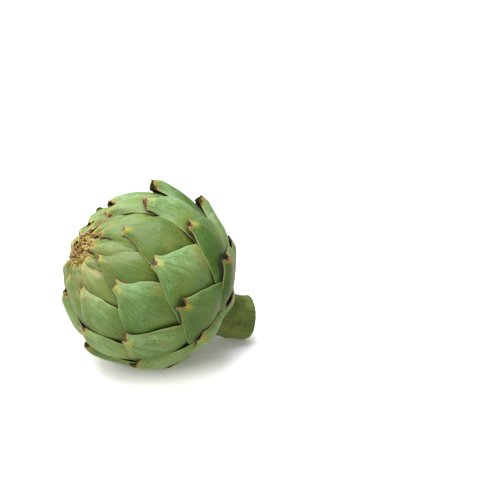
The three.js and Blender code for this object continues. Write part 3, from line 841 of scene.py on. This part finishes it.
hair_points, hair_faces, hair_values = [], [], []
for step in range(HAIR_COUNT):
    chance = np.random.default_rng(HAIR_SEED + step)
    away = CHOKE_RADIUS * math.sqrt((step + 0.5) / HAIR_COUNT)
    turn = GOLDEN_TURN * step
    root_z = np.interp(away, DISH_RADIUS, DISH_HEIGHT)
    end_away = away * chance.uniform(*LEAN_IN)
    top_z = np.interp(end_away, BRUSH_RADIUS, BRUSH_HEIGHT)
    end_z = root_z + (top_z - root_z) * chance.uniform(*HAIR_LENGTH)
    share = np.linspace(0, 1, HAIR_STEPS + 1)
    swing = HAIR_SWING * np.sin(share * 3.1) * chance.uniform(-1, 1)
    r = away + (end_away - away) * share**1.5
    angle = turn + swing / max(away, LEAST_RADIUS)
    middle = np.stack([r * np.cos(angle), r * np.sin(angle), root_z + (end_z - root_z) * share], -1)
    thick = HAIR_ROOT + (HAIR_TIP - HAIR_ROOT) * share
    start = len(hair_points) * (HAIR_STEPS + 1) * HAIR_SIDES
    round_hair = np.linspace(0, 2 * math.pi, HAIR_SIDES, endpoint=False)
    offset = np.stack([np.cos(round_hair), np.sin(round_hair), 0 * round_hair], -1)
    hair_points.append(middle[:, None] + thick[:, None, None] * offset[None])
    hair_faces += tube_faces(start, HAIR_STEPS + 1, HAIR_SIDES)
    last = start + HAIR_STEPS * HAIR_SIDES
    hair_faces.append(tuple(range(start + HAIR_SIDES - 1, start - 1, -1)))
    hair_faces.append(tuple(range(last, last + HAIR_SIDES)))
    share = np.repeat(share, HAIR_SIDES)
    hair_values.append(np.stack([share, np.full(share.size, chance.random())], -1))
choke = add_mesh("choke_hairs", lay_down(np.stack(hair_points)), hair_faces)
hair_values = np.concatenate(hair_values)
keep_values(choke.data, "hair_share", hair_values[:, 0])
keep_values(choke.data, "hair_hue", hair_values[:, 1])
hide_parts("choke")

HAIR_CREAM = paint(216, 204, 160)
HAIR_TAN = paint(176, 146, 108)
HAIR_PURPLE = paint(112, 66, 104)
FLORET_VIOLET = paint(138, 84, 150)
hair_skin, tree, shader = new_material("choke_hair")
share = stored(tree, "hair_share")["Fac"]
hue = stored(tree, "hair_hue")["Fac"]
cloud = noise(tree, put(tree, "TexCoord").outputs["Object"], 240.0, 3.0)
tips = mixed(tree, band(tree, hue, 0.55, 0.75), HAIR_PURPLE, FLORET_VIOLET)
colour = mixed(tree, band(tree, graded(tree, cloud, 0.3, share), 0.2, 0.75), HAIR_CREAM, HAIR_TAN)
colour = mixed(tree, band(tree, graded(tree, cloud, 0.4, share), 0.6, 1.15), colour, tips)
tree.links.new(colour, shader.inputs["Base Color"])
tree.links.new(graded(tree, cloud, 0.2, 0.45), shader.inputs["Roughness"])
shader.inputs["Sheen Weight"].default_value = 0.3
choke.data.materials.append(hair_skin)


# ---------------------------------------------------------------- The stem
# A thick, fleshy stalk, cut short with a knife. Its skin has ribs along it and fine threads, and
# scars where small leaves were trimmed off. The cut shows a rind, a ring of threads and pale pith.
STEM_RADIUS, NECK_SPREAD, NECK_SHARE = 13.5, 8.5, 0.24
STEM_TOP, STEM_LENGTH, STEM_BEND = -38.3, 31, math.radians(24)
STEM_AROUND, STEM_DOWN, STEM_IN = 160, 90, 26
SKIN_DEPTH = 0.55  # the skin lies this far in, and its ribs stand out to the radius
STEM_RIBS = ((7, 0.32), (12, 0.2), (23, 0.12))  # how many, and how high
SCARS, SCAR_SIZE, SCAR_RIM, SCAR_PIT = 9, (1.6, 3.2), 0.45, 0.35
SCAR_PLACES, SCAR_SQUASH = (0.1, 0.8), 1.6  # shares of the stem's length, and width over length
CUT_SWELL, CUT_RING, RING_AT, RING_WIDE, CUT_MARKS = 0.0022, 0.012, 0.86, 0.04, 0.006
STEM_FIBRES = 12
STEM_SEED = 77
stem_chance = np.random.default_rng(STEM_SEED)
bend_radius = STEM_LENGTH / STEM_BEND


def stem_point(share, turn, radius):
    """A point of the head's own frame: along the stem from the head, and round it."""
    bent = share * STEM_BEND
    across = radius * np.cos(turn)
    x = bend_radius * (1 - np.cos(bent)) + across * np.cos(bent)
    y = radius * np.sin(turn) + 0 * bent
    return np.stack([x, y, STEM_TOP - bend_radius * np.sin(bent) + across * np.sin(bent)], -1)


turn = np.linspace(0, 2 * math.pi, STEM_AROUND, endpoint=False)[None, :]
share = np.linspace(0, 1, STEM_DOWN + 1)[:, None] ** 1.4
radius = STEM_RADIUS - SKIN_DEPTH + NECK_SPREAD * fade(share, NECK_SHARE) ** 3
(few, high), (more, lower), (most, finest) = STEM_RIBS
ribs = high * np.cos(turn * few + 0.8 * np.sin(share * 3)) + lower * np.cos(turn * more + 1.3 + share)
ribs = ribs + finest * np.cos(turn * most + 0.6) + 0.1 * np.sin(share * 26 + 2 * np.cos(turn))
for _ in range(SCARS):
    scar_share, scar_turn = stem_chance.uniform(*SCAR_PLACES), stem_chance.uniform(0, 6.28)
    size = stem_chance.uniform(*SCAR_SIZE)
    around = ((turn - scar_turn + math.pi) % (2 * math.pi) - math.pi) * STEM_RADIUS
    away = np.hypot((share - scar_share) * STEM_LENGTH * SCAR_SQUASH, around)
    ribs = ribs + SCAR_RIM * np.exp(-((away / size - 1) ** 2) * 9)
    ribs = ribs - SCAR_PIT * np.exp(-((away / size) ** 2) * 3)
radius = radius + ribs * np.minimum((1 - share) * 25 + 0.3, 1)
side_points = stem_point(share, turn, radius)
inward = np.linspace(1, 0, STEM_IN + 1)[1:-1, None]
cut_ring = np.exp(-(((inward - RING_AT) / RING_WIDE) ** 2)) * (1 + 0.4 * np.cos(turn * 31))
dish = CUT_SWELL * (1 - inward**2) - CUT_RING * cut_ring
dish = dish + CUT_MARKS * np.sin(inward * 22 + 2 * np.cos(turn * 3)) * inward
end_points = stem_point(1 - dish, turn, radius[-1:] * inward)
caps = stem_point(np.array([0.0, 1.0]), np.zeros(2), np.zeros(2))
stem_points = np.concatenate([side_points.reshape(-1, 3), end_points.reshape(-1, 3), caps])
stem_faces = tube_faces(0, STEM_DOWN + STEM_IN, STEM_AROUND)
top, bottom = len(stem_points) - 2, len(stem_points) - 1
last = top - STEM_AROUND
for j in range(STEM_AROUND):
    next_j = (j + 1) % STEM_AROUND
    stem_faces.append((top, next_j, j))
    stem_faces.append((bottom, last + j, last + next_j))


stem = add_mesh("stem_cut", lay_down(stem_points, soft=0), stem_faces)
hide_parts("stem")
threads_at = turn * STEM_FIBRES
side_fibre = np.stack(np.broadcast_arrays(threads_at, share * STEM_LENGTH, 3.0), -1)
end_fibre = np.stack(np.broadcast_arrays(threads_at, inward * STEM_RADIUS, 8.0), -1)
stem_fibre = np.concatenate([side_fibre.reshape(-1, 3), end_fibre.reshape(-1, 3), np.zeros((2, 3))])
keep_values(stem.data, "fibre", stem_fibre)
depth_in = np.concatenate([np.zeros(side_points.size // 3), np.repeat(1 - inward[:, 0], STEM_AROUND), [0, 1]])
keep_values(stem.data, "depth_in", depth_in)

# The skin's own olive greens, made darker as partly painted shade, for the shade it lies in under the head
STEM_OLIVE_SHADED = paint(92, 108, 32)
STEM_DARK = paint(66, 84, 24)
STEM_PALE_SHADED = paint(124, 134, 52)
STEM_PITH = paint(196, 200, 132)
STEM_RIND = paint(126, 146, 58)
STEM_THREADS = paint(150, 150, 72)
stem_skin, tree, shader = new_material("stem_skin")
fibre = stored(tree, "fibre")["Vector"]
depth_in = stored(tree, "depth_in")["Fac"]
place = put(tree, "TexCoord").outputs["Object"]
vein = place_group(tree, veins, {"Fibre": fibre, "Fineness": 0.6})
patches = band(tree, noise(tree, place, 110.0, 3.0), 0.35, 0.65)
colour = mixed(tree, vein["Strands"], STEM_DARK, STEM_OLIVE_SHADED)
colour = mixed(tree, times(tree, patches, 0.5), colour, STEM_PALE_SHADED)
colour = mixed(tree, times(tree, vein["Lines"], 0.4), colour, STEM_DARK)
spots = place_group(tree, specks, {"Place": place, "Each Metre": 500.0, "Share": 0.4})["Spots"]
colour = mixed(tree, spots, colour, SPECK)
cut = mixed(tree, band(tree, depth_in, 0.07, 0.16), STEM_RIND, STEM_PITH)
threads = times(tree, band(tree, depth_in, 0.08, 0.13), band(tree, depth_in, 0.26, 0.17))
cut = mixed(tree, times(tree, threads, vein["Strands"]), cut, STEM_THREADS)
stained = band(tree, noise(tree, place, 380.0, 4.0), 0.5, 0.75)
cut = mixed(tree, times(tree, stained, 0.5), cut, STEM_THREADS)
colour = mixed(tree, band(tree, depth_in, 0.005, 0.03), colour, cut)
height = graded(tree, vein["Lines"], 0.5, vein["Strands"])
finish_skin(tree, shader, colour, graded(tree, patches, 0.15, 0.5), height, 0.5, 0.0004)
stem.data.materials.append(stem_skin)


# ---------------------------------------------------------------- Floor, light and camera
# What it is shown on and lit by: a plain white floor that glows a little and so also lights the
# underside, a soft lamp over it and a bright room. The floor looks whiter to the camera than what it
# reflects onto the underside is, and to the camera it glows less in an oval round the places that the
# head and the stem rest on, which paints a darker contact shadow there.
FLOOR_SIZE = 12
FLOOR_WHITE, FLOOR_BOUNCE = (0.9, 0.88, 0.96, 1), (0.3, 0.3, 0.27, 1)
SHINE_WHITE, SHINE_BOUNCE = (1, 1, 1, 1), (1, 1.04, 0.7, 1)
SHINE, FAR_SHINE, FAR = 0.46, 0.4, (0.2, 0.8)
# The oval of painted contact shadow round where the head and the stem rest, and the camera's glow inside and
# outside it
REST_MIDDLE, REST_OVAL, BESIDE = (0.016, 0, 0), (0.45, 1, 1), (0.015, 0.042)
SEEN_SHINE, BESIDE_SHINE = -0.38, 0.54


def length_of(tree, vector):
    return put(tree, "VectorMath", {0: vector}, operation="LENGTH").outputs["Value"]


floor_mesh = bpy.data.meshes.new("floor")
corners = [(x * FLOOR_SIZE / 2, y * FLOOR_SIZE / 2, 0) for x, y in ((-1, -1), (1, -1), (1, 1), (-1, 1))]
floor_mesh.from_pydata(corners, [], [(0, 1, 2, 3)])
floor = add_object("floor", floor_mesh)
floor_paint, tree, shader = new_material("floor_white")
shader.inputs["Roughness"].default_value = 0.9
shader.inputs["Specular IOR Level"].default_value = 0.1
place = put(tree, "TexCoord").outputs["Object"]
# Painted contact shadow: the camera sees the floor glow less inside the oval round the rest
beside = put(tree, "VectorMath", {0: place, 1: REST_MIDDLE}, operation="SUBTRACT").outputs[0]
beside = length_of(tree, scaled(tree, beside, REST_OVAL))
seen = put(tree, "LightPath").outputs["Is Camera Ray"]
shine = graded(tree, band(tree, length_of(tree, place), *FAR), FAR_SHINE, SHINE)
seen_shine = graded(tree, band(tree, beside, *BESIDE), BESIDE_SHINE, SEEN_SHINE)
shine = graded(tree, seen, seen_shine, shine)
tree.links.new(mixed(tree, seen, FLOOR_BOUNCE, FLOOR_WHITE), shader.inputs["Base Color"])
tree.links.new(mixed(tree, seen, SHINE_BOUNCE, SHINE_WHITE), shader.inputs["Emission Color"])
tree.links.new(shine, shader.inputs["Emission Strength"])
floor_mesh.materials.append(floor_paint)

# The room: a bright ceiling, a white backdrop behind, a paler wall at the left, and little else
CEILING, BACKDROP, LEFT_WALL, ELSEWHERE = 0.8, 0.8, 0.6, 0.06
ROOM_LIGHT, ROOM_SEEN = (1, 0.97, 0.85, 1), (1, 1, 1, 1)
world = bpy.data.worlds.new("studio")
world.use_nodes = True
tree = world.node_tree
towards = put(tree, "TexCoord").outputs["Generated"]
glow = ELSEWHERE
for strength, side, start in (
    (CEILING, (-0.25, 0.0, 0.97), 0.0),
    (BACKDROP, (-0.45, 0.88, 0.15), 0.3),
    (LEFT_WALL, (-0.97, -0.25, 0.0), 0.0),
):
    facing = put(tree, "VectorMath", {0: towards, 1: side}, operation="DOT_PRODUCT").outputs["Value"]
    glow = graded(tree, band(tree, facing, start, 0.9), strength, glow)
background = tree.nodes["Background"]
seen = put(tree, "LightPath").outputs["Is Camera Ray"]
tree.links.new(maths(tree, "MAXIMUM", glow, seen), background.inputs["Strength"])
tree.links.new(mixed(tree, seen, ROOM_LIGHT, ROOM_SEEN), background.inputs["Color"])
scene = bpy.context.scene
scene.world = world
scene.view_settings.view_transform = "Standard"


def aim(thing, place, target):
    """Places a lamp or camera and turns it to a target."""
    thing.location = place
    direction = Vector(target) - Vector(place)
    thing.rotation_euler = direction.to_track_quat("-Z", "Y").to_euler()


SOFTBOX_SIZE, SOFTBOX_ENERGY, SOFTBOX_COLOUR = 0.9, 19, (0.95, 1, 1.1)
SOFTBOX_PLACE, SOFTBOX_TARGET = (-0.16, 0.1, 1.1), (0, 0, 0.05)
lamp = bpy.data.lights.new("softbox", "AREA")
lamp.shape, lamp.size, lamp.energy, lamp.color = "DISK", SOFTBOX_SIZE, SOFTBOX_ENERGY, SOFTBOX_COLOUR
aim(add_object("softbox", lamp), SOFTBOX_PLACE, SOFTBOX_TARGET)

CAMERA_AZIMUTH, CAMERA_RAISED = math.radians(-21.4), math.radians(25)
CAMERA_AWAY = 0.631
CAMERA_LENS, CAMERA_SENSOR = 80, 36
CAMERA_TARGET = Vector((HEAD_X + 55.42, HEAD_Y - 14.03, HEAD_Z + 15.29)) / METRE
camera = add_object("camera", bpy.data.cameras.new("camera"))
camera.data.lens, camera.data.sensor_width = CAMERA_LENS, CAMERA_SENSOR
level = math.cos(CAMERA_RAISED)
back = (math.sin(CAMERA_AZIMUTH) * level, -math.cos(CAMERA_AZIMUTH) * level, math.sin(CAMERA_RAISED))
aim(camera, CAMERA_TARGET + Vector(back) * CAMERA_AWAY, CAMERA_TARGET)
scene.camera = camera
